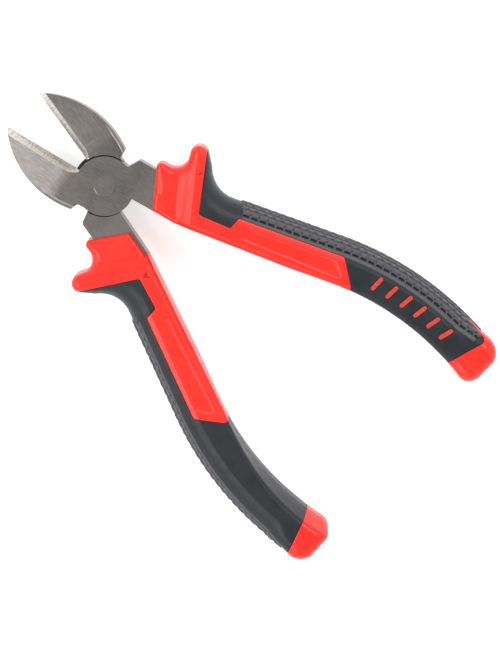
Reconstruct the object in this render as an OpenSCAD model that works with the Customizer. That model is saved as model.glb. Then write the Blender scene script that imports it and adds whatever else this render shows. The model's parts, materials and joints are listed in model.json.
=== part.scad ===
// Diagonal cutting pliers with a flush-riveted lap joint and two-colour grips.
// The rear half is the front half turned half a turn about the tool's long axis, and
// differs only behind the cutting edges, where its plate has a lobe that closes the
// throat. Each piece is drawn once, in the frame of the front half with the jaws shut:
// cutting edge along -X, handle towards +X and +Y, lap plane at z = 0. The assembled
// tool has its origin on the pivot axis, in the flat back face of the head.

/* [Head] */
// Thickness of the head through both halves
head_t = 10; // [8:0.5:12]
// Radius of the round joint plates
plate_r = 9; // [8.5:0.1:9.5]
// Pivot to jaw tip
jaw_len = 34; // [31:0.5:34]
// Radius of the rounded back of a jaw
jaw_back_r = 29; // [28.5:0.1:30]
// Radius of the hollow grind behind each cutting edge
grind_r = 5.6; // [5.2:0.1:6.5]
// Depth of the grind, seen from the front
grind_w = 2; // [1.5:0.1:2.4]
// Half thickness of a jaw at its tip
tip_half_t = 3; // [2.4:0.1:4]

/* [Pivot] */
// Radius of the flush rivet heads
rivet_head_r = 3.3; // [3:0.1:3.8]
// Radius of the rivet shank
rivet_shank_r = 2.7; // [2.2:0.1:2.8]
// Angle between the cutting edges as the tool lies
open_angle = 23; // [2:1:36]

/* [Grips] */
// Thickness of a grip
grip_t = 18; // [16.5:0.5:19]
// Thickness of the collar around the tang
collar_t = 14; // [13:0.5:15]
// Radius along the long edges of a grip
grip_round = 3.2; // [2.8:0.1:3.4]
// Thickness of the soft skin over the hard core
skin_t = 2; // [1.5:0.25:2.5]
// Depth of the sunk field in each hard side panel
field_depth = 0.3; // [0.1:0.1:0.6]
// Width of the steel tang inside a grip
tang_w = 6; // [5:0.5:6.5]
// Thickness of the steel tang inside a grip
tang_t = 5; // [4:0.5:6]

/* [Marks] */
// Number of plain bars inlaid in a grip
mark_count = 6; // [3:1:7]
// Width of a bar
mark_w = 1.4; // [1:0.1:2]
// Length of a bar
mark_len = 5; // [4:0.5:5.5]
// Depth of a bar in the soft skin
mark_depth = 0.6; // [0.4:0.1:1]

/* [Hidden] */

$fn = 96;
half_t = head_t / 2;
big = 60;                       // larger than any cross-section

// Clearances
lap_gap = 0.1;                  // between the sliding faces of the two plates
seat_gap = 0.33;                // mean gap round a plate in the seat of the other half
seat_center = [-0.15, 0.1];     // off the pivot, so that the gap is finest at the tang
run_gap = 0.05;                 // radial, rivet to front lever
edge_gap = 0.1;                 // between the cutting edges when shut

// Jaw: a segment of a coin with a rounded rim, centred off the far side of the edge
jaw_center = [-11, 17];
jaw_rim = 1.6;
taper_start = 10;               // jaw faces are flat this far from the pivot
taper_bend = 4;                 // length of the bend between the flat and the slope
taper_angle = atan((half_t - tip_half_t) / (jaw_len - taper_start - taper_bend / 2));
taper_r = taper_bend / sin(taper_angle);
heel = [-5.5, -12];
notch = [-4.2, -8.9];
neck = [0, -8.5];                // where the jaw runs into the joint plate
grind_y = grind_r - grind_w;
grind_z = sqrt(pow(grind_r, 2) - pow(grind_y, 2));
grind_end = -12.9;              // the grind runs out in a round end from here

// Lobe of the rear plate that closes the throat behind the cutting edges
lobe_r = plate_r + 1;
lobe_angle = 28;

// Rivet: shank with a flush countersunk head at each end
countersink = rivet_head_r - rivet_shank_r;

// Grip outline: the inner and outer edges are arcs about nearly the same centre
grip_center = [90, -75];
outer_r = 100.8;
inner_r = 86.6;
end_corner = [122.4, 15.2];
end_corner_r = 5.7;
toe_corner = [122, 10.6];
toe_corner_r = 5;
valley_center = [13.2, 19.6];
valley_r = 4.3;
guard_center = [19.5, 22.9];
guard_r = 2.9;
thumb_center = [33.5, 26.6];
thumb_r = 10.1;
collar_inner = [15.6, 2.2];
collar_outer = [10.2, 13.6];
collar_corner_r = 1.6;
sleeve_step = [24, 1.4];        // where the grip closes round the inner side of the tang
collar_slope = atan2(collar_outer.y - collar_inner.y, collar_outer.x - collar_inner.x);
ramp_start = 7;                 // along the grip, from the collar's front edge
ramp_end = 11.5;
slope_r = inner_r - 0.15;       // the inner wall slopes from here at the lap plane
back_center = [100.5, -49];     // to this arc at the back face
back_r = 62.4;

// Bars: angles about the grip's centre, and the radius that they lie on
mark_first = 3;
mark_last = -13;
mark_r = (outer_r + inner_r) / 2 - 1;
mark_slant = -15;

// Points along an arc, ends included
function arc(c, r, a0, a1, steps = 8) =
    [for (i = [0:steps]) c + r * [cos(a0 + (a1 - a0) * i / steps), sin(a0 + (a1 - a0) * i / steps)]];

// ---- frames -------------------------------------------------------------------

module front_half() {
    translate([0, 0, half_t]) rotate([0, 0, open_angle / 2]) children();
}

module rear_half() {
    translate([0, 0, half_t]) rotate([180, 0, 0]) rotate([0, 0, open_angle / 2]) children();
}

// ---- steel ----------------------------------------------------------------------

// Disc with a rounded rim, whose lower segment is the jaw
module jaw_coin() {
    translate([jaw_center.x, jaw_center.y, 0])
        rotate_extrude($fn = 180) {
            translate([0, -half_t]) square([jaw_back_r - jaw_rim, head_t]);
            translate([0, jaw_rim - half_t]) square([jaw_back_r, head_t - 2 * jaw_rim]);
            for (side = [-1, 1])
                intersection() {
                    translate([jaw_back_r - jaw_rim, side * (half_t - jaw_rim)]) circle(jaw_rim, $fn = 48);
                    translate([0, -half_t]) square([big, head_t]);
                }
        }
}

// What the jaw keeps of that disc, seen from the front
module jaw_outline() {
    polygon([[-jaw_len, -edge_gap / 2], [0, -edge_gap / 2], neck, notch, heel,
             [heel.x, -big], [-jaw_len, -big]]);
}

// Faces that slope in towards the jaw tip
module jaw_taper() {
    profile = concat([[big, half_t]],
                     arc([-taper_start, half_t - taper_r], taper_r, 90, 90 + taper_angle, 5),
                     [[-jaw_len, tip_half_t], [-jaw_len, 0], [big, 0]]);
    for (side = [0, 1])
        mirror([0, 0, side]) rotate([90, 0, 0]) linear_extrude(2 * big, center = true) polygon(profile);
}

module jaw() {
    difference() {
        intersection() {
            jaw_coin();
            linear_extrude(head_t, center = true) jaw_outline();
            jaw_taper();
        }
        for (side = [-1, 1])
            translate([grind_end, grind_y, side * grind_z]) {
                rotate([0, -90, 0]) cylinder(r = grind_r, h = big);
                sphere(grind_r, $fn = 64);
            }
    }
}

// Tang at full thickness, from the joint plate into the collar
module tang_root() {
    linear_extrude(head_t, center = true)
        polygon(concat([[0, 0], [8.8, 0.9], sleeve_step, [26, 4], [26, 11.6], [16, 12.2]],
                       arc([5.8, 11], 1.2, 90, 160), [[3.3, 9], [0, 6]]));
}

// Thin tang that follows the grip to near its end
module tang_tail() {
    mid_r = (outer_r + inner_r) / 2;
    linear_extrude(tang_t, center = true)
        polygon(concat([[24, 3.2]], arc(grip_center, mid_r - tang_w / 2, 100, 76, 10),
                       arc(grip_center, mid_r + tang_w / 2, 76, 100, 10), [[24, 3.2 + tang_w + 2]]));
}

module tang() {
    tang_root();
    tang_tail();
}

// Half-thickness plate that turns on the rivet
module plate() {
    translate([0, 0, lap_gap / 2]) cylinder(r = plate_r, h = half_t - lap_gap / 2);
}

// Room for the plate of the other half
module seat() {
    translate([seat_center.x, seat_center.y, -big]) cylinder(r = plate_r + seat_gap, h = big + lap_gap / 2);
}

// Sector round the pivot, on either side of the cutting edge
module throat(r, first_angle, last_angle, z, h) {
    translate([0, 0, z])
        linear_extrude(h) polygon(concat([[0, 0]], arc([0, 0], r, 180 + first_angle, 180 + last_angle)));
}

module lever(hole_gap) {
    difference() {
        union() {
            difference() {
                union() {
                    jaw();
                    tang();
                }
                seat();
            }
            plate();
        }
        rivet(hole_gap);
    }
}

// The front lever has room for the lobe of the rear one, from its cutting edge on
module front_half_lever() {
    difference() {
        lever(run_gap);
        throat(lobe_r + seat_gap, -10, lobe_angle + 2, -big, big + lap_gap / 2);
    }
}

module rear_half_lever() {
    lever(0);
    difference() {
        throat(lobe_r, -lobe_angle, 0, lap_gap / 2, half_t - lap_gap / 2);
        rivet();
    }
}

module rivet(gap = 0) {
    rotate_extrude()
        polygon([[0, -half_t], [rivet_head_r + gap, -half_t], [rivet_shank_r + gap, -half_t + countersink],
                 [rivet_shank_r + gap, half_t - countersink], [rivet_head_r + gap, half_t], [0, half_t]]);
}

// ---- grips ------------------------------------------------------------------------

// Collar, thumb guard, handle and rounded end in one outline
module grip_outline() {
    polygon(concat(
        [sleeve_step, [sleeve_step.x, collar_inner.y], collar_inner],
        arc(collar_outer + [collar_corner_r, 0], collar_corner_r, 180, 90, 4),
        arc(valley_center, valley_r, -90, 0, 6),
        arc(guard_center, guard_r, 180, 40, 8),
        arc(thumb_center, thumb_r, 210, 275, 8),
        arc(grip_center, outer_r, 101, 73, 12),
        arc(end_corner, end_corner_r, 75, 0, 5),
        arc(toe_corner, toe_corner_r, -20, -100, 5),
        arc(grip_center, inner_r, 71, 100, 12)
    ));
}

// The outline as a solid with round edges
module grip_solid() {
    minkowski() {
        linear_extrude(grip_t - 2 * grip_round, center = true) offset(delta = -grip_round) grip_outline();
        sphere(grip_round, $fn = 16);
    }
}

// Hard core under the soft skin
module grip_inside() {
    difference() {
        linear_extrude(grip_t - 2 * skin_t, center = true) offset(delta = -skin_t) grip_outline();
        back_slope(skin_t);
    }
}

// Space inside the sloping part of the inner wall, a skew cone from the lap plane down
module back_slope(deeper = 0) {
    $fn = 180;
    far_center = 2 * back_center - grip_center;
    far_r = 2 * back_r - slope_r;
    hull() {
        translate([grip_center.x, grip_center.y, -0.01]) cylinder(r = slope_r + deeper, h = 0.01);
        translate([far_center.x, far_center.y, -grip_t]) cylinder(r = far_r + deeper, h = 0.01);
    }
}

// The collar's front face reaches over the tang to its inner edge
module collar_lip() {
    linear_extrude(collar_t / 2) polygon([[16.1, 1.2], [24, 1.4], [26, 5], [15, 5]]);
}

// Space above and below the collar, which is thinner than the grip
module collar_relief() {
    for (side = [0, 1])
        mirror([0, 0, side])
            translate([collar_inner.x, collar_inner.y, 0])
                rotate([90, 0, collar_slope - 90])
                    linear_extrude(2 * big, center = true)
                        polygon([[-big, collar_t / 2], [ramp_start, collar_t / 2],
                                 [ramp_end, grip_t / 2 + 0.1], [ramp_end, big], [-big, big]]);
}

// Part of the grip that the soft skin covers, seen from the front
module skin_outline() {
    polygon([[20.4, 30], [20.6, 25.8], [28.6, 7.6], [38.8, 9], [39.4, 12.9], [72.6, 19.4], [79.2, 12.4],
             [79.4, 0], [115, 0], [115, 6.5], [122, 19], [121.5, 20.2], [111.5, 23.6], [109.5, 30]]);
}

// Row of plain slanted bars along the handle
module mark_outline() {
    for (i = [0:mark_count - 1])
        translate(grip_center)
            rotate(mark_first - (mark_first - mark_last) * i / (mark_count - 1))
                translate([0, mark_r])
                    rotate(mark_slant)
                        square([mark_w, mark_len], center = true);
}

module inlay() {
    translate([0, 0, grip_t / 2 - mark_depth]) linear_extrude(mark_depth) mark_outline();
}

// Shallow field sunk into the side panel on both faces
module panel_fields() {
    for (side = [0, 1])
        mirror([0, 0, side])
            translate([0, 0, grip_t / 2 - field_depth])
                linear_extrude(big) polygon([[43, 8], [42.5, 11.4], [71, 17], [75.5, 13.2]]);
}

module core() {
    difference() {
        union() {
            difference() {
                grip_solid();
                linear_extrude(big, center = true) skin_outline();
                back_slope();
            }
            grip_inside();
            collar_lip();
        }
        tang();
        collar_relief();
        panel_fields();
    }
}

module overmould() {
    difference() {
        intersection() {
            grip_solid();
            linear_extrude(big, center = true) skin_outline();
        }
        back_slope();
        grip_inside();
        inlay();
    }
}

// ---- pieces -----------------------------------------------------------------------

module front_lever() { color("#7a7672") front_half() front_half_lever(); }
module rear_lever() { color("#7a7672") rear_half() rear_half_lever(); }
module pivot_rivet() { color("#6c6864") translate([0, 0, half_t]) rivet(); }
module front_core() { color("#f5423a") front_half() core(); }
module rear_core() { color("#f5423a") rear_half() core(); }
module front_overmould() { color("#3e4044") front_half() overmould(); }
module rear_overmould() { color("#3e4044") rear_half() overmould(); }
module front_grip_inlay() { color("#d2463c") front_half() inlay(); }
module rear_grip_inlay() { color("#d2463c") rear_half() inlay(); }

front_lever();
rear_lever();
pivot_rivet();
front_core();
rear_core();
front_overmould();
rear_overmould();
front_grip_inlay();
rear_grip_inlay();
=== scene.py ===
"""Looks for the diagonal cutting pliers: moulded grips, ground steel, floor, light and camera.

The grips are sampled as signed distance fields and turned into meshes, so their rounded
edges, seams and palm texture are all real geometry. They are drawn in the frame of the
front half with the jaws shut, in millimetres: cutting edge along -X, handle towards +X
and +Y, lap plane at z = 0. Each half then gets a copy, moved to its own place. The
levers and the rivet keep their CAD meshes.
"""
import itertools
import math

import bpy
import numpy as np
from mathutils import Matrix, Vector
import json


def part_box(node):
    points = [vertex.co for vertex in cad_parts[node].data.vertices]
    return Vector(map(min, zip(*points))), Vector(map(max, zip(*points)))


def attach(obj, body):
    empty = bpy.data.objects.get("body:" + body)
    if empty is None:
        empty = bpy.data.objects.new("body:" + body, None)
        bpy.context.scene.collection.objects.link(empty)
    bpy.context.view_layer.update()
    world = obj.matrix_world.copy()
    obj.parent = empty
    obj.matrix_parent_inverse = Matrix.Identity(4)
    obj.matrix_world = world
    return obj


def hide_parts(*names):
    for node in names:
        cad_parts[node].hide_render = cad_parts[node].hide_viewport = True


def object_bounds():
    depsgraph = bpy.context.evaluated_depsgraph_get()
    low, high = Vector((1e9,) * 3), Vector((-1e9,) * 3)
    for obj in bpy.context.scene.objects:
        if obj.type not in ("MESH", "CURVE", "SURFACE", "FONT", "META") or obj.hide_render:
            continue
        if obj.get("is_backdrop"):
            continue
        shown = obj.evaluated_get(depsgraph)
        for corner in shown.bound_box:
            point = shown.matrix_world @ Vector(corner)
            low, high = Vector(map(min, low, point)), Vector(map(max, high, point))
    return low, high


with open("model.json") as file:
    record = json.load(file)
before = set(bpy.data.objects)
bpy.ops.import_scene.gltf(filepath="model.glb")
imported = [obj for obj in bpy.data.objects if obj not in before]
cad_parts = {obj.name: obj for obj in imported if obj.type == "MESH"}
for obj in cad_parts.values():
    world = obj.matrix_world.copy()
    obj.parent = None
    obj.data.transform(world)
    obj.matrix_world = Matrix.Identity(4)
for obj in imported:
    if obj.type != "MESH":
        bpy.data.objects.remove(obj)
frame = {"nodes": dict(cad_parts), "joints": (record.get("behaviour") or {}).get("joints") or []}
cad_low, cad_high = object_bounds()

MM = 0.001
STEP = 0.18      # spacing of the samples, in millimetres
KEPT_FACES = {"core": 0.2, "overmould": 0.3, "grip_inlay": 0.6}

# ---- sizes, in millimetres ------------------------------------------------------------

rivet_low, rivet_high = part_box("pivot_rivet")
HEAD_T = (rivet_high.z - rivet_low.z) / MM
OPEN_ANGLE = -frame["joints"][0]["range_deg"][0]

# Grip outline, as in the CAD model
GRIP_T = 18.0
COLLAR_T = 14.0
SKIN_T = 2.0
GRIP_CENTER = (90.0, -75.0)
OUTER_R = 100.8
INNER_R = 86.6
MID_R = (OUTER_R + INNER_R) / 2
COLLAR_INNER = (15.6, 2.2)
COLLAR_OUTER = (10.2, 13.6)
SLEEVE_STEP = (24.0, 1.4)
TANG_W = 6.0
TANG_T = 5.0
TANG_ANGLES = (76.0, 100.0)

# Roundness of the long edges
COLLAR_ROUND = 1.3
GUARD_ROUND = 2.6
PALM_ROUND = 7.0
TIP_ROUND = 4.0
INNER_ROUND = 2.2

# Inner edge of the back face, which the inner wall slopes up to
BACK_CENTER = (100.5, -49.0)
BACK_R = 62.4
BACK_ROUND = 1.6

# Where the collar thickens into the handle, along the grip from the collar's front edge
RAMP = (6.8, 11.9)

# Sunk field in the hard side panel
FIELD = [(43.0, 8.0), (42.5, 11.4), (71.0, 17.0), (75.5, 13.2)]
FIELD_CORNER = 1.0
FIELD_DEPTH = 0.3
FIELD_SLOPE = 0.7

# Front face of the collar, where it reaches over the tang
COLLAR_LIP = [(16.1, 1.2), (24.0, 1.4), (30.0, 4.0), (26.0, 9.0), (13.6, 6.6)]

# Small sunk triangles, each with the side that it is on: 1 for the front, -1 for the back
DIMPLE_DEPTH = 0.35
DIMPLES = [([(22.2, 17.6), (23.9, 18.4), (22.6, 20.0)], 1),
           ([(28.0, 4.6), (30.2, 4.9), (28.9, 6.6)], -1)]

# Soft skin, seen from the front, and its seam with the hard core
SKIN = [(20.4, 30.0), (20.6, 25.8), (28.6, 7.6), (38.8, 9.0), (39.4, 12.9), (72.6, 19.4),
        (79.2, 12.4), (79.4, 0.0), (115.0, 0.0), (115.0, 6.5), (122.0, 19.0), (121.5, 20.2),
        (111.5, 23.6), (109.5, 30.0)]
BACK_SKIN = SKIN[:-4] + [(122.0, 19.0), (124.5, 23.5), (122.0, 30.0)]
SKIN_CORNER = 1.0
SKIN_SINK = 0.1
SEAM = 0.22

# Palm texture: a raised strip of overlapping scales, with a line of dashes and a lip in front
STRIP_START = -34.0             # along the palm edge, from where that edge starts to curve
STRIP_END = 50.0
STRIP_RISE = 0.12
DASH_LINE = 9.0                 # along the surface, from the middle of the palm to the front
BACK_LINE = 7.2                 # the same to the strip's edge on the back
DASH_PITCH = 2.7
DASH_LENGTH = 1.9
DASH_W = 0.57
DASH_DEPTH = 0.5
SCALE_ROW = 1.8
SCALE_R = 1.5
SCALE_FIRST = 2.0
SCALE_RISE = 0.5
LIP_W = 2.0
LIP_RISE = 0.13

# Hollow grind behind each cutting edge, with a round end, and the lobe that closes the throat
GRIND_R = 5.6
GRIND_W = 2.0
GRIND_END = -12.9
EDGE_ROOT = -8.9
LOBE_R = (8.9, 10.5)
LOBE_TOP = 0.1

# Bevel width asked for on the steel's sharp edges. Blender holds the rivet's to about 0.01, so its
# rims stay nearly sharp.
EDGE_EASE = 0.12
RIVET_EASE = 0.25
SHARP_ANGLE = 35

# Plain bars inlaid in the skin
MARK_COUNT = 6
MARK_ANGLES = (3.0, -13.0)
MARK_R = MID_R - 1
MARK_SLANT = -15.0
MARK_W = 1.4
MARK_LEN = 5.0
MARK_DEPTH = 0.6
MARK_GAP = 0.03
MARK_PROUD = 0.02


# ---- frames -----------------------------------------------------------------------------

def half_placement(turned_over):
    """Where a half lies in the open tool: its own frame, in metres, to the row frame."""
    lift = Matrix.Translation((0, 0, HEAD_T / 2 * MM))
    flip = Matrix.Rotation(math.pi if turned_over else 0, 4, "X")
    swing = Matrix.Rotation(math.radians(OPEN_ANGLE / 2), 4, "Z")
    return lift @ flip @ swing


HALVES = {"front": half_placement(False), "rear": half_placement(True)}


# ---- outlines -----------------------------------------------------------------------------

def arc(center, radius, start, end, steps=12):
    """Points along an arc between two angles in degrees, ends included."""
    angles = np.radians(np.linspace(start, end, steps + 1))
    return [(center[0] + radius * math.cos(a), center[1] + radius * math.sin(a)) for a in angles]


def rounded(corners, radius, steps=6):
    """A closed outline whose corners are rounded off."""
    points = []
    for before, corner, after in zip(corners[-1:] + corners[:-1], corners, corners[1:] + corners[:1]):
        here = Vector(corner)
        back = (Vector(before) - here).normalized()
        ahead = (Vector(after) - here).normalized()
        reach = radius / math.tan(back.angle(ahead) / 2)
        for i in range(steps + 1):
            t = i / steps
            points.append(tuple(here + (1 - t) ** 2 * reach * back + t ** 2 * reach * ahead))
    return points


def grip_outline():
    """Collar, thumb guard, handle and rounded end."""
    return ([SLEEVE_STEP, (SLEEVE_STEP[0], COLLAR_INNER[1]), COLLAR_INNER]
            + arc((COLLAR_OUTER[0] + 1.6, COLLAR_OUTER[1]), 1.6, 180, 90)
            + arc((13.2, 19.6), 4.3, -90, 0)
            + arc((19.5, 22.9), 2.9, 180, 40)
            + arc((33.5, 26.6), 10.1, 210, 275)
            + arc(GRIP_CENTER, OUTER_R, 101, 73, 24)
            + arc((122.4, 15.2), 5.7, 75, 0)
            + arc((122.0, 10.6), 5.0, -20, -100)
            + arc(GRIP_CENTER, INNER_R, 71, 100, 24))


def tang_outline():
    """The tang at full thickness, where it enters the collar."""
    return ([(0.0, 0.0), (8.8, 0.9), SLEEVE_STEP, (26.0, 4.0), (26.0, 11.6), (16.0, 12.2)]
            + arc((5.8, 11.0), 1.2, 90, 160) + [(3.3, 9.0), (0.0, 6.0)])


def palm_side():
    """Everything on the palm side of the grip's middle line."""
    return ([(0.0, 4.0), (24.0, 7.0)] + arc(GRIP_CENTER, MID_R, 100, 74)
            + [(140.0, 10.0), (140.0, 60.0), (0.0, 60.0)])


# ---- sampled fields -------------------------------------------------------------------------

class Grid:
    """Evenly spaced samples of a box: x and y as flat sheets, z as a column."""

    def __init__(self, low, high, step):
        axes = [np.arange(a, b + step, step, dtype=np.float32) for a, b in zip(low, high)]
        self.origin = np.array(low)
        self.step = step
        self.x, self.y = np.meshgrid(axes[0], axes[1], indexing="ij")
        self.z = axes[2][None, None, :]

    def distance_to(self, outline):
        """Distance to a closed outline, negative inside it."""
        nearest = np.full(self.x.shape, np.inf, np.float32)
        inside = np.zeros(self.x.shape, bool)
        for (ax, ay), (bx, by) in zip(outline, outline[1:] + outline[:1]):
            ex, ey = bx - ax, by - ay
            length_squared = ex * ex + ey * ey
            if length_squared < 1e-9:
                continue
            along = np.clip(((self.x - ax) * ex + (self.y - ay) * ey) / length_squared, 0, 1)
            away = np.hypot(self.x - ax - along * ex, self.y - ay - along * ey)
            nearest = np.minimum(nearest, away)
            if ey:
                crossed = (ay > self.y) != (by > self.y)
                inside ^= crossed & (self.x < ax + (self.y - ay) / ey * ex)
        return np.where(inside, -nearest, nearest)


def smooth_step(low, high, value):
    """0 below low, 1 above high, and an S curve between them."""
    t = np.clip((value - low) / (high - low), 0, 1)
    return t * t * (3 - 2 * t)


def smooth_max(a, b, width):
    """The larger field, with the crease between the two rounded off."""
    overlap = np.maximum(width - np.abs(a - b), 0)
    return np.maximum(a, b) + overlap * overlap / (4 * width)


def edge_radius(grid, palm):
    """Radius of the long edges, which changes along the grip and between its two sides."""
    start = smooth_step(11, 15, grid.x)
    thumb = smooth_step(19, 30, grid.x)
    tip = smooth_step(112, 120, grid.x)
    outer = COLLAR_ROUND + (GUARD_ROUND - COLLAR_ROUND) * start
    outer = outer + (PALM_ROUND - GUARD_ROUND) * thumb + (TIP_ROUND - PALM_ROUND) * tip
    inner = COLLAR_ROUND + (INNER_ROUND - COLLAR_ROUND) * smooth_step(20, 32, grid.x)
    inner = inner + (TIP_ROUND - INNER_ROUND) * tip
    return inner + (outer - inner) * palm


def half_thickness(grid):
    """Height of the faces above the lap plane: collar, ramp, handle and sunk field."""
    slope = Vector(COLLAR_OUTER) - Vector(COLLAR_INNER)
    across = Vector((slope.y, -slope.x)).normalized()
    from_front = (grid.x - COLLAR_INNER[0]) * across.x + (grid.y - COLLAR_INNER[1]) * across.y
    ramp = smooth_step(*RAMP, from_front)
    height = COLLAR_T / 2 + (GRIP_T - COLLAR_T) / 2 * ramp
    field = grid.distance_to(rounded(FIELD, FIELD_CORNER))
    return height - FIELD_DEPTH * smooth_step(FIELD_SLOPE / 2, -FIELD_SLOPE / 2, field)


def palm_texture(along, below, front):
    """Height of the moulded pattern at places on the palm, by how far below the line of dashes.

    The dashes, and the lip beside them, are on the front only.
    """
    row = np.ceil((below - SCALE_FIRST) / SCALE_ROW)
    drop = row * SCALE_ROW + SCALE_FIRST - below
    shift = np.where(row % 2 == 0, 0, DASH_PITCH / 2)
    beside = (along + shift) % DASH_PITCH - DASH_PITCH / 2
    rim = 0.12
    on_scale = smooth_step(SCALE_R + rim, SCALE_R - rim, np.hypot(beside, drop))
    under = (drop - SCALE_ROW) / SCALE_R
    tilt = under + (drop / SCALE_R - under) * on_scale
    scales = SCALE_RISE * (0.1 + 0.8 * tilt) * smooth_step(0.3, 1.1, below)
    from_dash = np.abs(along % DASH_PITCH - DASH_PITCH / 2) - DASH_LENGTH / 2
    across = np.abs(below) - DASH_W / 2
    dash = smooth_step(0.15, -0.15, from_dash) * smooth_step(0.135, -0.135, across) * front
    lip = front * LIP_RISE * smooth_step(-LIP_W, 0.4 - LIP_W, below) * smooth_step(-0.4, -0.7, below)
    return lip + (scales + STRIP_RISE - DASH_DEPTH * dash) * smooth_step(-0.5, -0.3, below)


def collar_lip(grid):
    """The part of the collar's front face that reaches over the tang to its inner edge."""
    side = grid.distance_to(COLLAR_LIP)[..., None] + COLLAR_ROUND
    top = np.abs(grid.z - COLLAR_T / 4) - COLLAR_T / 4 + COLLAR_ROUND
    lip = np.minimum(np.maximum(side, top), 0) - COLLAR_ROUND
    return lip + np.hypot(np.maximum(side, 0), np.maximum(top, 0))


def back_slope(grid):
    """Positive below the sloping inner wall of the back, which starts at the lap plane."""
    down = np.clip(-grid.z / (GRIP_T / 2), 0, 1)
    center_x = GRIP_CENTER[0] + (BACK_CENTER[0] - GRIP_CENTER[0]) * down
    center_y = GRIP_CENTER[1] + (BACK_CENTER[1] - GRIP_CENTER[1]) * down
    radius = INNER_R + (BACK_R - INNER_R) * down
    return radius - np.hypot(grid.x[..., None] - center_x, grid.y[..., None] - center_y)


def add_palm_texture(grid, body, outline, radius, height, palm):
    """The body with the palm texture moulded into its surface."""
    near = (np.abs(body) < 1.0) & (palm > 0.5)[..., None]
    flat = np.broadcast_to(outline[..., None], body.shape)[near]
    r = np.broadcast_to(radius[..., None], body.shape)[near]
    half = np.broadcast_to(height[..., None], body.shape)[near]
    x = np.broadcast_to(grid.x[..., None], body.shape)[near]
    y = np.broadcast_to(grid.y[..., None], body.shape)[near]
    z = np.broadcast_to(grid.z, body.shape)[near]
    front = z > 0
    strip_edge = np.where(front, DASH_LINE, BACK_LINE)
    z = np.abs(z)
    turn = np.arctan2(np.maximum(z - half + r, 0), np.maximum(flat + r, 1e-3))
    across = np.minimum(z, half - r) + r * turn + np.maximum(-flat - r, 0)
    angle = np.arctan2(y - GRIP_CENTER[1], x - GRIP_CENTER[0])
    bend = math.radians(101)
    start_x = GRIP_CENTER[0] + OUTER_R * math.cos(bend)
    start_y = GRIP_CENTER[1] + OUTER_R * math.sin(bend)
    straight = (x - start_x) * math.sin(bend) - (y - start_y) * math.cos(bend)
    along = np.where(angle > bend, straight, (bend - angle) * OUTER_R)
    start = STRIP_START + 0.2 * across
    strip = smooth_step(start - 0.15, start + 0.15, along) * smooth_step(STRIP_END + 0.4, STRIP_END, along)
    body = body.copy()
    body[near] -= strip * palm_texture(along, strip_edge - across, front)
    return body


def grip_fields(grid):
    """The hard core and the soft skin of a grip, as fields."""
    outline = grid.distance_to(grip_outline())
    palm = smooth_step(1.5, -1.5, grid.distance_to(palm_side()))
    radius = edge_radius(grid, palm)
    height = half_thickness(grid)
    side = (outline + radius)[..., None]
    top = np.abs(grid.z) - (height - radius)[..., None]
    body = np.minimum(np.maximum(side, top), 0) - radius[..., None]
    body += np.hypot(np.maximum(side, 0), np.maximum(top, 0))
    body = np.minimum(body, collar_lip(grid))
    body = smooth_max(body, back_slope(grid), BACK_ROUND)
    front, back = (grid.distance_to(rounded(edge, SKIN_CORNER))[..., None] for edge in (SKIN, BACK_SKIN))
    skin = front + (back - front) * smooth_step(2, -2, grid.z)
    inside = body + SKIN_T
    tang = np.maximum(grid.distance_to(tang_outline())[..., None], np.abs(grid.z) - HEAD_T / 2)
    tang = np.minimum(tang, tang_tail(grid))
    core = np.minimum(smooth_max(body, -skin, SEAM), inside)
    core = np.maximum(core, -tang)
    for outline_points, side_sign in DIMPLES:
        dimple = np.maximum(grid.distance_to(outline_points)[..., None],
                            GRIP_T / 2 - DIMPLE_DEPTH - side_sign * grid.z)
        core = smooth_max(core, -dimple, 0.1)
    textured = add_palm_texture(grid, body, outline, radius, height, palm)
    overmould = smooth_max(textured + SKIN_SINK, skin, SEAM)
    overmould = np.maximum(overmould, -inside)
    overmould = smooth_max(overmould, -marks_field(grid), 0.1)
    return core, overmould, body


def tang_tail(grid):
    """The thin part of the tang, which follows the grip."""
    from_middle = np.abs(np.hypot(grid.x - GRIP_CENTER[0], grid.y - GRIP_CENTER[1]) - MID_R)
    angle = np.degrees(np.arctan2(grid.y - GRIP_CENTER[1], grid.x - GRIP_CENTER[0]))
    past_end = np.maximum(TANG_ANGLES[0] - angle, angle - TANG_ANGLES[1])
    flat = np.maximum(from_middle - TANG_W / 2, past_end * MID_R * math.pi / 180)
    return np.maximum(flat[..., None], np.abs(grid.z) - TANG_T / 2)


def marks_field(grid):
    """The bars in the front face of the skin, with round ends."""
    bars = np.full(grid.x.shape, np.inf, np.float32)
    for angle in np.linspace(*MARK_ANGLES, MARK_COUNT):
        lean = math.radians(90 + angle + MARK_SLANT)
        middle = arc(GRIP_CENTER, MARK_R, 90 + angle, 90 + angle, 1)[0]
        dx, dy = grid.x - middle[0], grid.y - middle[1]
        half = (MARK_LEN - MARK_W) / 2
        along = np.clip(dx * math.cos(lean) + dy * math.sin(lean), -half, half)
        away = np.hypot(dx - along * math.cos(lean), dy - along * math.sin(lean))
        bars = np.minimum(bars, away - MARK_W / 2)
    return np.maximum(bars[..., None], GRIP_T / 2 - MARK_DEPTH - grid.z)


# ---- meshes ---------------------------------------------------------------------------------

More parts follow.
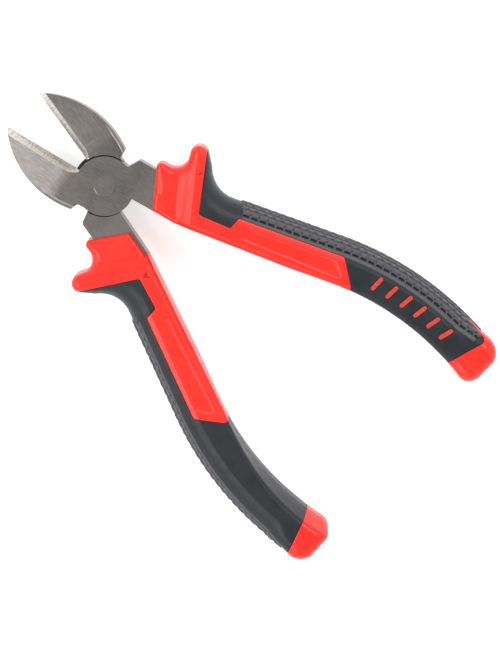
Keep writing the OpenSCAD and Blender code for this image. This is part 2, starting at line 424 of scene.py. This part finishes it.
def surface(field, grid):
    """Vertices and four-sided faces where the sampled field is zero (surface nets)."""
    inside = field < 0
    sizes = [n - 1 for n in field.shape]
    corners = list(itertools.product((0, 1), repeat=3))
    count = np.zeros(sizes, np.uint8)
    for corner in corners:
        count += inside[tuple(slice(c, c + n) for c, n in zip(corner, sizes))]
    crossed = (count > 0) & (count < 8)
    cells = np.argwhere(crossed)
    number = np.full(sizes, -1, np.int32)
    number[crossed] = np.arange(len(cells))

    values = [field[tuple((cells + corner).T)] for corner in corners]
    total = np.zeros((len(cells), 3))
    hits = np.zeros(len(cells))
    for a, b in itertools.combinations(range(8), 2):
        way = np.subtract(corners[b], corners[a])
        if np.abs(way).sum() != 1:
            continue
        cut = (values[a] < 0) != (values[b] < 0)
        share = np.where(cut, values[a] / np.where(cut, values[a] - values[b], 1), 0)
        total += cut[:, None] * (np.array(corners[a]) + share[:, None] * way)
        hits += cut
    points = grid.origin + (cells + total / hits[:, None]) * grid.step

    faces = []
    for axis in range(3):
        u, v = np.eye(3, dtype=int)[[(axis + 1) % 3, (axis + 2) % 3]]
        low = np.take(inside, range(sizes[axis]), axis)
        high = np.take(inside, range(1, sizes[axis] + 1), axis)
        edges = np.argwhere(low != high)
        around = [number[tuple((edges - shift).T)] for shift in (u + v, v, 0 * u, u)]
        quads = np.stack(around, 1)
        outward = low[tuple(edges.T)]
        faces.append(np.where(outward[:, None], quads, quads[:, ::-1]))
    return points, np.concatenate(faces)


def make_mesh(name, points, faces):
    """A smooth-shaded mesh in metres."""
    mesh = bpy.data.meshes.new(name)
    mesh.vertices.add(len(points))
    mesh.vertices.foreach_set("co", (points * MM).astype(np.float32).ravel())
    mesh.loops.add(faces.size)
    mesh.loops.foreach_set("vertex_index", faces.astype(np.int32).ravel())
    mesh.polygons.add(len(faces))
    mesh.polygons.foreach_set("loop_start", np.arange(0, faces.size, 4, dtype=np.int32))
    mesh.polygons.foreach_set("use_smooth", np.ones(len(faces), bool))
    mesh.update(calc_edges=True)
    mesh.validate()
    return mesh


def field_mesh(name, field, grid, share, base):
    """The surface of a field as a mesh, with its flat parts thinned out to a share of the faces.

    It carries its height above the base field, in millimetres, as an attribute.
    """
    whole = bpy.data.objects.new(name, make_mesh(name + "_samples", *surface(field, grid)))
    bpy.context.scene.collection.objects.link(whole)
    modifier = whole.modifiers.new("Thin out", "DECIMATE")
    modifier.ratio = share
    thinned = whole.evaluated_get(bpy.context.evaluated_depsgraph_get())
    mesh = bpy.data.meshes.new_from_object(thinned)
    mesh.name = name
    bpy.data.objects.remove(whole)
    points = np.empty(3 * len(mesh.vertices))
    mesh.vertices.foreach_get("co", points)
    points = points.reshape(-1, 3) / MM
    mesh.normals_split_custom_set_from_vertices(outward(field, grid, points))
    relief = mesh.attributes.new("relief", "FLOAT", "POINT")
    relief.data.foreach_set("value", sample(base, grid, points).astype(np.float32))
    return mesh


def sample(field, grid, points):
    """The field at any points, from the eight samples round each."""
    place = np.clip((points - grid.origin) / grid.step, 0, np.array(field.shape) - 1.001)
    cell = place.astype(int)
    share = place - cell
    total = np.zeros(len(points))
    for corner in itertools.product((0, 1), repeat=3):
        weight = np.prod(np.where(corner, share, 1 - share), axis=1)
        total += weight * field[tuple((cell + corner).T)]
    return total


def outward(field, grid, points):
    """Unit vectors out of the surface, from the slope of the field."""
    reach = 0.6 * grid.step
    slopes = [sample(field, grid, points + step) - sample(field, grid, points - step)
              for step in np.eye(3) * reach]
    slopes = np.stack(slopes, 1)
    return slopes / np.linalg.norm(slopes, axis=1, keepdims=True)


def place(name, mesh, half, material, slot, node):
    """A piece of one half, moved from the frame of the half and in place of its CAD node."""
    mesh = mesh.copy()
    mesh.transform(HALVES[half])
    mesh.materials.append(material)
    piece = bpy.data.objects.new(name, mesh)
    bpy.context.scene.collection.objects.link(piece)
    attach(piece, half + "_half")
    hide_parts(node)
    return piece


# ---- materials --------------------------------------------------------------------------------

class Shader:
    """A material being built, with short calls for its nodes."""

    def __init__(self, name, **inputs):
        self.material = bpy.data.materials.new(name)
        self.material.use_nodes = True
        self.tree = self.material.node_tree
        self.base = self.tree.nodes["Principled BSDF"]
        self.fill(self.base, inputs)
        self.place = self.add("ShaderNodeTexCoord").outputs["Object"]

    def fill(self, node, inputs):
        for name, value in inputs.items():
            socket = node.inputs[name]
            if isinstance(value, bpy.types.NodeSocket):
                self.tree.links.new(value, socket)
            else:
                socket.default_value = value

    def add(self, kind, inputs=None, **settings):
        node = self.tree.nodes.new(kind)
        for name, value in settings.items():
            setattr(node, name, value)
        self.fill(node, inputs or {})
        return node

    def math(self, operation, a, b=0.0):
        node = self.add("ShaderNodeMath", {0: a, 1: b}, operation=operation)
        return node.outputs[0]

    def near(self, value, middle, reach):
        """1 where a length is within reach of a middle value in millimetres, 0 elsewhere."""
        inputs = {0: value, 1: middle * MM, 2: reach * MM}
        return self.add("ShaderNodeMath", inputs, operation="COMPARE").outputs[0]

    def moved(self, rotation=(0, 0, 0), scale=(1, 1, 1), location=(0, 0, 0), source=None):
        inputs = {"Vector": source or self.place, "Location": location, "Rotation": rotation,
                  "Scale": scale}
        return self.add("ShaderNodeMapping", inputs).outputs[0]

    def noise(self, size, detail=3.0, place=None, roughness=0.5):
        """Noise with spots of about this size, in millimetres."""
        inputs = {"Vector": place or self.place, "Scale": 1 / (size * MM), "Detail": detail,
                  "Roughness": roughness}
        return self.add("ShaderNodeTexNoise", inputs).outputs["Fac"]

    def relief(self, low, high):
        """1 where the surface is high above the plain shape, 0 where it is low."""
        height = self.add("ShaderNodeAttribute", attribute_name="relief").outputs["Fac"]
        return self.ramp(height, low, high)

    def ramp(self, value, low, high, start=0.0, end=1.0):
        """A number that goes from start to end as the value goes from low to high."""
        inputs = {"Value": value, "From Min": low, "From Max": high, "To Min": start, "To Max": end}
        return self.add("ShaderNodeMapRange", inputs, interpolation_type="SMOOTHSTEP").outputs[0]

    def mix(self, share, first, second):
        inputs = {0: share, 6: first, 7: second}
        return self.add("ShaderNodeMix", inputs, data_type="RGBA").outputs[2]

    def bump(self, height, distance, strength=1.0, after=None):
        inputs = {"Height": height, "Distance": distance * MM, "Strength": strength}
        if after:
            inputs["Normal"] = after
        return self.add("ShaderNodeBump", inputs).outputs[0]

    def finish(self, **inputs):
        self.fill(self.base, {name.replace("_", " "): value for name, value in inputs.items()})
        return self.material


def colour(red, green, blue):
    return (red, green, blue, 1.0)


def red_plastic():
    """Satin red plastic, with painted shade that darkens it in the sunk triangles."""
    shader = Shader("red_plastic", **{"Specular IOR Level": 0.35})
    cloud = shader.ramp(shader.noise(9, 2), 0.35, 0.65)
    tint = shader.mix(cloud, colour(0.64, 0.016, 0.008), colour(0.68, 0.02, 0.011))
    # Painted shade: the red is darkened where the surface is sunk below the plain shape, as in the sunk
    # triangles.
    tint = shader.mix(shader.relief(-0.1, -0.35), tint, colour(0.4, 0.014, 0.012))
    shine = shader.ramp(shader.noise(3, 4), 0.3, 0.7, 0.28, 0.36)
    waves = shader.bump(shader.noise(5, 1), 0.12, 0.25)
    grain = shader.bump(shader.noise(0.22, 2), 0.012, 0.5, waves)
    return shader.finish(Base_Color=tint, Roughness=shine, Normal=grain)


def soft_rubber():
    """Dark rubber: wear patches and a painted highlight lighten it where it stands proud, and painted
    shade makes it nearly black in the dashes.
    """
    look = {"Specular IOR Level": 0.3, "Sheen Weight": 0.05, "Sheen Roughness": 0.6}
    shader = Shader("soft_rubber", **look)
    cloud = shader.ramp(shader.noise(7, 3), 0.35, 0.65)
    tint = shader.mix(cloud, colour(0.007, 0.009, 0.0125), colour(0.011, 0.013, 0.017))
    # Painted shade: nearly black where the skin is sunk below its plain level, as in the dashes.
    tint = shader.mix(shader.relief(-0.15, -0.4), tint, colour(0.004, 0.004, 0.005))
    # Wear patches and painted highlight: the skin is lightened where it stands proud, on the scales and
    # the lip.
    patches = shader.ramp(shader.noise(0.5, 4), 0.3, 0.6, 0.6)
    proud_wear_and_highlight = shader.math("MULTIPLY", shader.relief(-SKIN_SINK + 0.01, 0.02), patches)
    tint = shader.mix(proud_wear_and_highlight, tint, colour(0.062, 0.059, 0.067))
    shine = shader.ramp(shader.noise(2.4, 3), 0.3, 0.7, 0.38, 0.48)
    grain = shader.bump(shader.noise(0.16, 3), 0.02, 0.6)
    return shader.finish(Base_Color=tint, Roughness=shine, Normal=grain)


def inlay_plastic():
    """The duller red of the bars."""
    shader = Shader("inlay_plastic", **{"Specular IOR Level": 0.35})
    cloud = shader.ramp(shader.noise(1.2, 3), 0.35, 0.65)
    tint = shader.mix(cloud, colour(0.44, 0.035, 0.022), colour(0.5, 0.044, 0.03))
    grain = shader.bump(shader.noise(0.16, 2), 0.01, 0.5)
    return shader.finish(Base_Color=tint, Roughness=0.45, Normal=grain)


def half_coordinates(shader, half):
    """The place in the frame of a half, for steel that is drawn in the row frame."""
    back = HALVES[half].inverted()
    location, rotation, _ = back.decompose()
    return shader.moved(tuple(rotation.to_euler()), location=tuple(location))


def ground_steel(half):
    """Steel with the fine lines of a grinding belt, and bright hollow-ground cutting edges; a painted
    reflection lightens the tangs and painted shade blackens the throat lobe.
    """
    shader = Shader("tool_steel_" + half, Metallic=1.0)
    place = half_coordinates(shader, half)
    lines = shader.moved(rotation=(0, 0, math.radians(-18)), scale=(0.12, 1, 0.3), source=place)
    coarse = shader.noise(0.3, 4, lines)
    fine = shader.noise(0.12, 3, lines)
    cloud = shader.ramp(shader.noise(5, 3, place), 0.3, 0.7)
    tint = shader.mix(cloud, colour(0.134, 0.124, 0.117), colour(0.16, 0.149, 0.14))
    # Painted reflection: the steel is painted lighter from 5 to 14 mm along X, on the tangs, for the
    # brighter sheen off their grinding lines.
    along = shader.add("ShaderNodeSeparateXYZ", {0: place}).outputs["X"]
    tint = shader.mix(shader.ramp(along, 5 * MM, 14 * MM), tint, colour(0.2, 0.182, 0.171))
    tint = shader.mix(shader.ramp(coarse, 0.4, 0.75, 0, 0.4), tint, colour(0.29, 0.272, 0.258))
    bevel = cutting_bevel(shader, place)
    strokes = shader.moved(rotation=(0, 0, math.radians(12)), scale=(1, 0.12, 0.12), source=place)
    stroke = shader.noise(0.24, 4, strokes)
    share = shader.ramp(stroke, 0.35, 0.65)
    bright = shader.mix(share, colour(0.38, 0.356, 0.33), colour(0.66, 0.63, 0.595))
    tint = shader.mix(bevel, tint, bright)
    # Painted shade: the throat lobe is painted nearly black.
    throat_painted_shade = shader.math("MULTIPLY", throat_lobe(shader, place), 0.9)
    tint = shader.mix(throat_painted_shade, tint, colour(0.01, 0.009, 0.008))
    shine = shader.ramp(fine, 0.3, 0.7, 0.28, 0.34)
    scratches = shader.bump(shader.math("MULTIPLY", stroke, bevel), 0.015, 0.4)
    scratches = shader.bump(fine, 0.006, 0.4, scratches)
    return shader.finish(Base_Color=tint, Roughness=shine, Normal=scratches)


def cutting_bevel(shader, place):
    """1 on the hollow grind along the cutting edge and its round end, 0 elsewhere."""
    grind_y = GRIND_R - GRIND_W
    grind_z = math.sqrt(GRIND_R ** 2 - grind_y ** 2)
    axes = shader.add("ShaderNodeSeparateXYZ", {0: place}).outputs
    across = shader.math("SUBTRACT", axes["Y"], grind_y * MM)
    up = shader.math("SUBTRACT", shader.math("ABSOLUTE", axes["Z"]), grind_z * MM)
    past = shader.math("MAXIMUM", shader.math("SUBTRACT", axes["X"], GRIND_END * MM), 0.0)
    squares = shader.math("ADD", shader.math("MULTIPLY", across, across), shader.math("MULTIPLY", up, up))
    squares = shader.math("ADD", squares, shader.math("MULTIPLY", past, past))
    near = shader.math("LESS_THAN", shader.math("SQRT", squares), (GRIND_R + 0.05) * MM)
    ahead = shader.math("LESS_THAN", axes["X"], EDGE_ROOT * MM)
    return shader.math("MULTIPLY", near, ahead)


def throat_lobe(shader, place):
    """1 on the face of the lobe behind the cutting edges, which is painted nearly black as shade; 0
    elsewhere.
    """
    axes = shader.add("ShaderNodeSeparateXYZ", {0: place}).outputs
    squares = shader.math("ADD", shader.math("MULTIPLY", axes["X"], axes["X"]),
                          shader.math("MULTIPLY", axes["Y"], axes["Y"]))
    radius = shader.math("SQRT", squares)
    ring = shader.near(radius, sum(LOBE_R) / 2, (LOBE_R[1] - LOBE_R[0]) / 2)
    layer = shader.near(axes["Z"], LOBE_TOP, 0.2)
    return shader.math("MULTIPLY", ring, layer)


def rivet_steel():
    """Steel with fine lines of its own, a little brighter than the joint plate."""
    shader = Shader("rivet_steel", Metallic=1.0)
    lines = shader.moved(rotation=(0, 0, math.radians(25)), scale=(0.08, 1, 1))
    fine = shader.noise(0.2, 4, lines)
    share = shader.ramp(fine, 0.35, 0.65)
    tint = shader.mix(share, colour(0.15, 0.139, 0.131), colour(0.185, 0.172, 0.162))
    return shader.finish(Base_Color=tint, Roughness=0.32, Normal=shader.bump(fine, 0.01, 0.5))


# ---- pieces ---------------------------------------------------------------------------------------

def make_grips():
    """The two grips: core, skin and bars of each, from one set of fields."""
    grid = Grid((8.0, -2.0, -9.8), (130.0, 30.5, 9.8), STEP)
    core, overmould, body = grip_fields(grid)
    meshes = {"core": field_mesh("grip_core", core, grid, KEPT_FACES["core"], body),
              "overmould": field_mesh("grip_skin", overmould, grid, KEPT_FACES["overmould"], body)}
    bars = Grid((80.0, 9.0, 8.2), (118.0, 23.0, 9.2), min(STEP, 0.15))
    marks = np.maximum(marks_field(bars) + MARK_GAP, bars.z - GRIP_T / 2 - MARK_PROUD)
    meshes["grip_inlay"] = field_mesh("grip_marks", marks, bars, KEPT_FACES["grip_inlay"], marks)
    looks = {"core": (red_plastic(), "red_plastic"), "overmould": (soft_rubber(), "soft_rubber"),
             "grip_inlay": (inlay_plastic(), "inlay_plastic")}
    for half in HALVES:
        for kind, mesh in meshes.items():
            material, slot = looks[kind]
            place(f"{half}_{kind}_shape", mesh, half, material, slot, f"{half}_{kind}")


def smooth_by_angle(angle):
    """Geometry nodes that shade curved faces smooth and keep the edges sharper than an angle."""
    group = bpy.data.node_groups.new("smooth_by_angle", "GeometryNodeTree")
    for way in ("INPUT", "OUTPUT"):
        group.interface.new_socket("Geometry", in_out=way, socket_type="NodeSocketGeometry")
    nodes, links = group.nodes, group.links
    start, end = nodes.new("NodeGroupInput"), nodes.new("NodeGroupOutput")
    edge_angle = nodes.new("GeometryNodeInputMeshEdgeAngle")
    gentle = nodes.new("FunctionNodeCompare")
    gentle.operation = "LESS_THAN"
    gentle.inputs[1].default_value = math.radians(angle)
    faces, edges = nodes.new("GeometryNodeSetShadeSmooth"), nodes.new("GeometryNodeSetShadeSmooth")
    edges.domain = "EDGE"
    links.new(edge_angle.outputs["Unsigned Angle"], gentle.inputs[0])
    links.new(gentle.outputs[0], edges.inputs["Shade Smooth"])
    links.new(start.outputs[0], faces.inputs[0])
    links.new(faces.outputs[0], edges.inputs[0])
    links.new(edges.outputs[0], end.inputs[0])
    return group


def finish_steel():
    """The CAD levers and rivet keep their shape and get a ground finish; the levers' edges are eased."""
    looks = {"front_lever": ground_steel("front"), "rear_lever": ground_steel("rear"),
             "pivot_rivet": rivet_steel()}
    shading = smooth_by_angle(SHARP_ANGLE)
    for node, material in looks.items():
        piece = frame["nodes"][node]
        piece.data.materials.clear()
        piece.data.materials.append(material)
        weld = piece.modifiers.new("Weld", "WELD")
        weld.merge_threshold = 0.002 * MM
        bevel = piece.modifiers.new("Eased edges", "BEVEL")
        bevel.width = (RIVET_EASE if node == "pivot_rivet" else EDGE_EASE) * MM
        bevel.segments = 2
        bevel.limit_method = "ANGLE"
        bevel.angle_limit = math.radians(SHARP_ANGLE)
        piece.modifiers.new("Smooth", "NODES").node_group = shading
        piece.modifiers.new("Weighted normals", "WEIGHTED_NORMAL").keep_sharp = True


# ---- stage ------------------------------------------------------------------------------------------

def make_floor(height):
    """A pale floor that glows a little, so that shadows on it stay light."""
    bpy.ops.mesh.primitive_plane_add(size=6, location=(0, 0, height))
    floor = bpy.context.object
    floor.name = "floor"
    shader = Shader("floor", **{"Specular IOR Level": 0.1})
    floor.data.materials.append(shader.finish(Base_Color=colour(0.65, 0.65, 0.65), Roughness=0.9,
                                              Emission_Color=colour(1, 1, 1), Emission_Strength=0.6))
    floor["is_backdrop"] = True


def make_light():
    """A white tent: bright all round, darker straight overhead."""
    world = bpy.data.worlds.new("tent")
    bpy.context.scene.world = world
    world.use_nodes = True
    nodes, links = world.node_tree.nodes, world.node_tree.links
    place = nodes.new("ShaderNodeTexCoord")
    split = nodes.new("ShaderNodeSeparateXYZ")
    level = nodes.new("ShaderNodeMapRange")
    level.interpolation_type = "SMOOTHSTEP"
    for name, value in {"From Min": 0.45, "From Max": 0.9, "To Min": 1.2, "To Max": 0.45}.items():
        level.inputs[name].default_value = value
    links.new(place.outputs["Generated"], split.inputs[0])
    links.new(split.outputs["Z"], level.inputs["Value"])
    nodes["Background"].inputs["Color"].default_value = colour(1, 1, 1)
    links.new(level.outputs[0], nodes["Background"].inputs["Strength"])


def make_softbox(name, azimuth, elevation, radiance, width, height, distance=0.9):
    """A plain rectangular light that faces the tool; azimuth 0 is +X and 90 is +Y."""
    light = bpy.data.lights.new(name, "AREA")
    light.shape = "RECTANGLE"
    light.size = width
    light.size_y = height
    light.energy = radiance * math.pi * width * height
    lamp = bpy.data.objects.new(name, light)
    bpy.context.scene.collection.objects.link(lamp)
    around, up = math.radians(azimuth), math.radians(elevation)
    way = Vector((math.cos(around) * math.cos(up), math.sin(around) * math.cos(up), math.sin(up)))
    lamp.location = (cad_low + cad_high) / 2 + way * distance
    lamp.rotation_euler = way.to_track_quat("Z", "Y").to_euler()


def make_camera():
    """Above the jaws, looking nearly straight down, with the tool lying at an angle."""
    aim = Vector((61, -1.6, HEAD_T / 2)) * MM
    distance = 904.7 * MM
    lean_x, lean_y, lay = (math.radians(a) for a in (-4.35, 4.92, 42.75))
    back = Vector((math.tan(lean_x), math.tan(lean_y), 1)).normalized()
    right = Vector((math.cos(lay), math.sin(lay), 0))
    right = (right - back * right.dot(back)).normalized()
    up = back.cross(right)
    camera = bpy.data.objects.new("camera", bpy.data.cameras.new("camera"))
    bpy.context.scene.collection.objects.link(camera)
    turn = Matrix((right, up, back)).transposed().to_4x4()
    camera.matrix_world = Matrix.Translation(aim + back * distance) @ turn
    camera.data.sensor_fit = "HORIZONTAL"
    camera.data.sensor_width = 36
    camera.data.lens = 214.2
    bpy.context.scene.camera = camera


make_grips()
finish_steel()
make_floor(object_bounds()[0].z)
make_light()
make_softbox("left_light", 208, 40, 8.0, 0.4, 0.18)
make_softbox("right_light", 95, 52, 7.0, 0.6, 0.25)
make_softbox("near_light", 262, 52, 6.0, 0.6, 0.25)
make_softbox("top_light", 225, 68, 12.5, 0.18, 0.18)
make_camera()
bpy.context.scene.view_settings.view_transform = "Standard"
